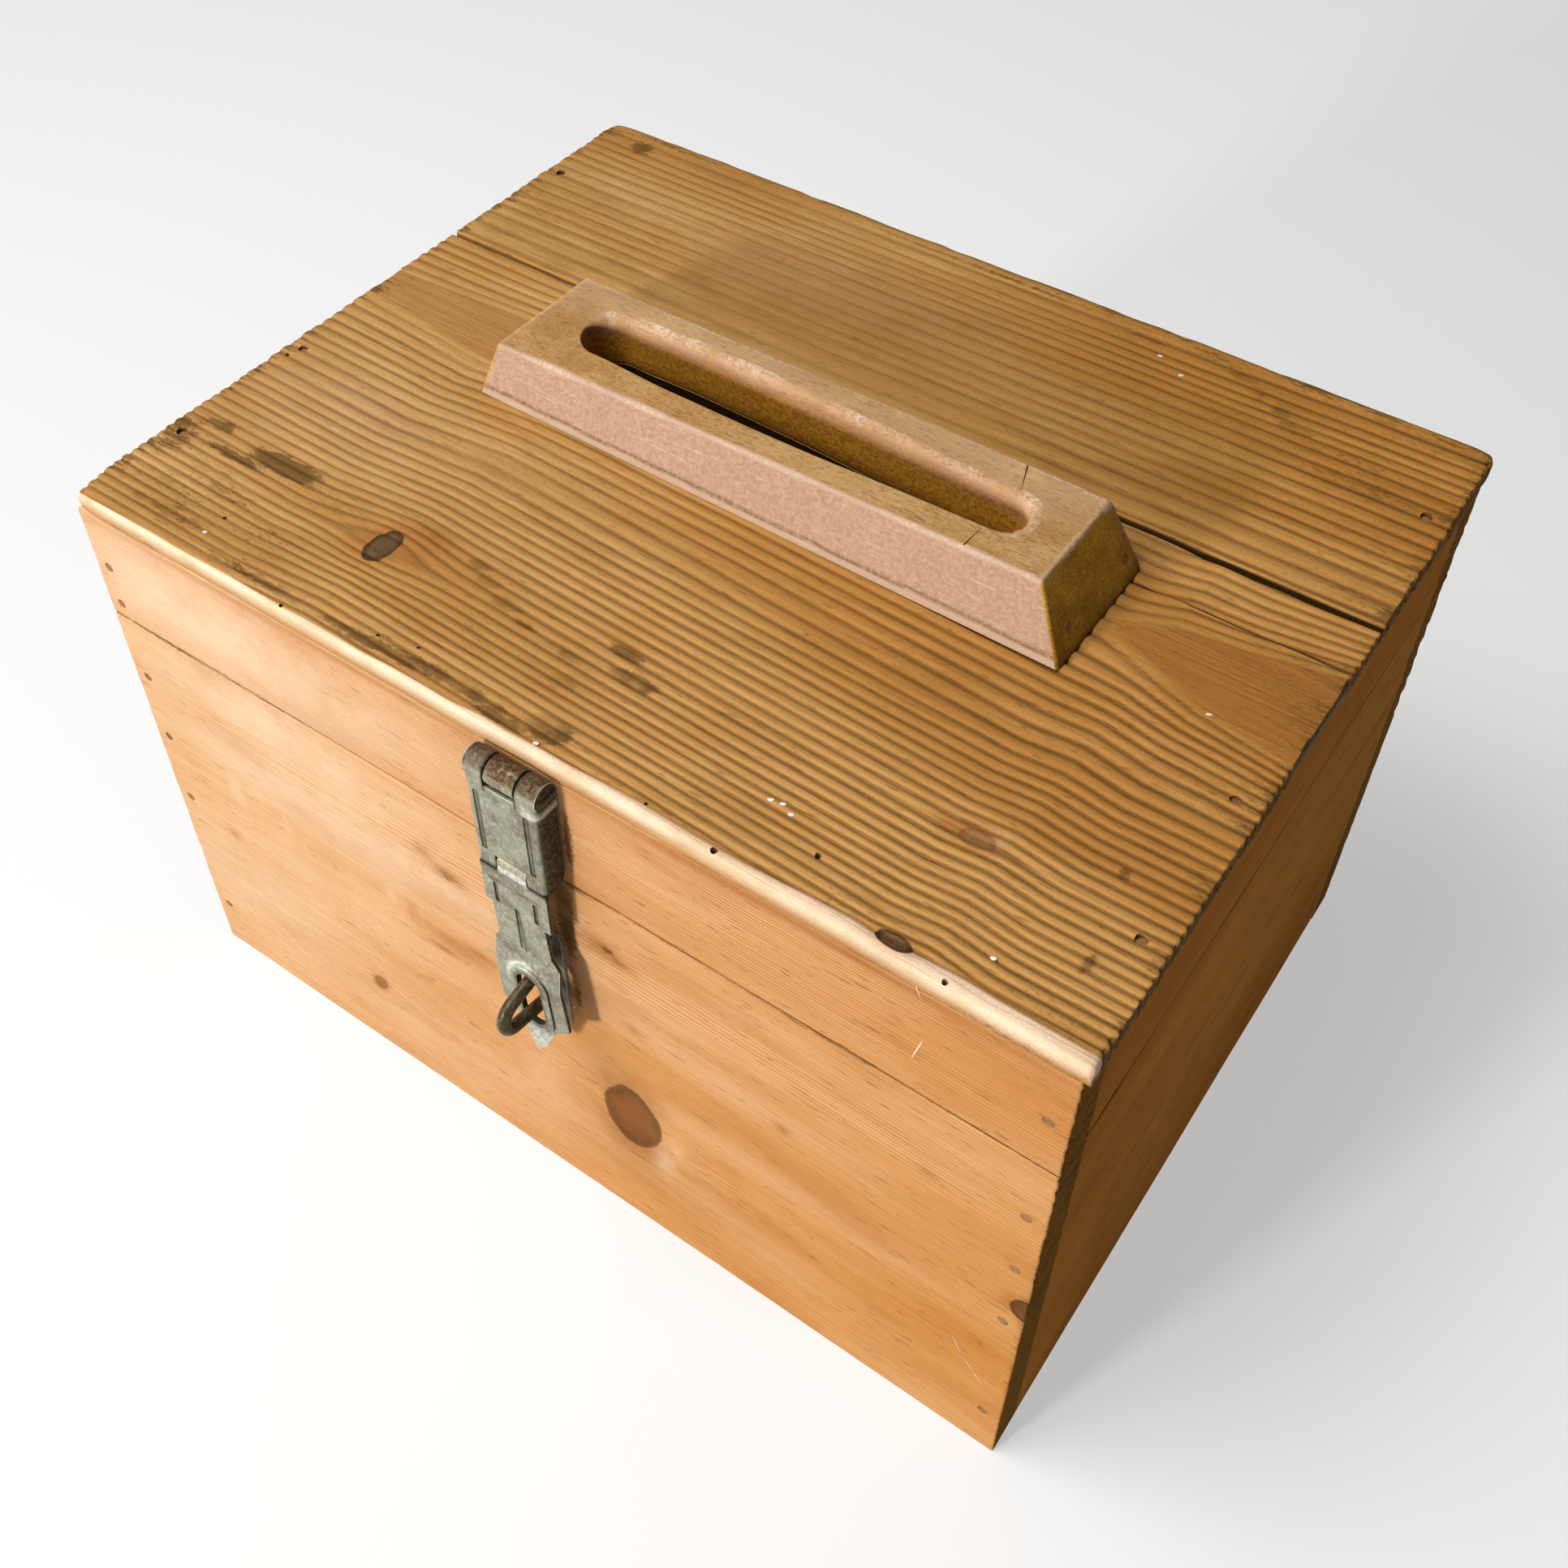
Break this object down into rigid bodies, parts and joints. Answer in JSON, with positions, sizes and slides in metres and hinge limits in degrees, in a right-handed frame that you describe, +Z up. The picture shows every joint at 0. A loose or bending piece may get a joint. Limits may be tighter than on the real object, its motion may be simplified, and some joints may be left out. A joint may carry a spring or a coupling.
{
  "type": "wooden money box",
  "caption": "Nailed pine money box with a hinged lid, a long coin slot through a hardwood block on the lid, and a double-jointed hasp closing over a wire staple.",
  "frame": {"origin": "middle of the underside, on the surface the box stands on", "axes": "+Z up, the front with the hasp faces -Y, +X to the right seen from the front"},
  "size_m": [0.362, 0.3097, 0.262],
  "materials": {
    "pine_face": "worn, sanded",
    "pine_weathered": "weathered, ridged grain",
    "pine_side": "worn, oiled",
    "pine_inside": "raw",
    "beech": "planed, worn",
    "hasp_steel": "old galvanised",
    "hinge_steel": "old galvanised",
    "dark_steel": "rusty"
  },
  "bodies": {
    "box": {"body_front": "pine_face", "body_back": "pine_side", "body_left_side": "pine_side", "body_right_side": "pine_side", "bottom_front_board": "pine_inside", "bottom_back_board": "pine_inside", "body_front_nails": "dark_steel", "body_back_nails": "dark_steel", "bottom_nails": "dark_steel", "staple_plate": "hasp_steel", "staple": "dark_steel", "staple_plate_screws": "dark_steel", "hinge_left_body_leaf": "hinge_steel", "hinge_right_body_leaf": "hinge_steel", "hinge_left_pin": "dark_steel", "hinge_right_pin": "dark_steel", "hinge_body_screws": "dark_steel"},
    "lid": {"lid_front_rail": "pine_face", "lid_back_rail": "pine_side", "lid_left_rail": "pine_side", "lid_right_rail": "pine_side", "lid_front_board": "pine_weathered", "lid_back_board": "pine_weathered", "slot_block": "beech", "lid_front_nails": "dark_steel", "lid_back_nails": "dark_steel", "lid_top_nails": "dark_steel", "block_nails": "dark_steel", "hinge_left_lid_leaf": "hinge_steel", "hinge_right_lid_leaf": "hinge_steel", "hinge_lid_screws": "dark_steel", "hasp_fixed_leaf": "hasp_steel", "hasp_leaf_screws": "dark_steel", "hasp_top_pin": "dark_steel"},
    "hasp_link": {"hasp_link": "hasp_steel", "hasp_low_pin": "dark_steel"},
    "hasp_arm": {"hasp_arm": "hasp_steel"}
  },
  "joints": [
    {"name": "lid_hinge", "type": "hinge", "parent": "box", "child": "lid", "pos_m": [0, 0.1419, 0.1866], "axis": [-1, 0, 0], "range_deg": [0, 180]},
    {"name": "hasp_link_hinge", "type": "hinge", "parent": "lid", "child": "hasp_link", "pos_m": [0.0042, -0.1434, 0.2308], "axis": [-1, 0, 0], "range_deg": [0, 180]},
    {"name": "hasp_arm_hinge", "type": "hinge", "parent": "hasp_link", "child": "hasp_arm", "pos_m": [0.0042, -0.1451, 0.1926], "axis": [-1, 0, 0], "range_deg": [0, 95]}
  ]
}
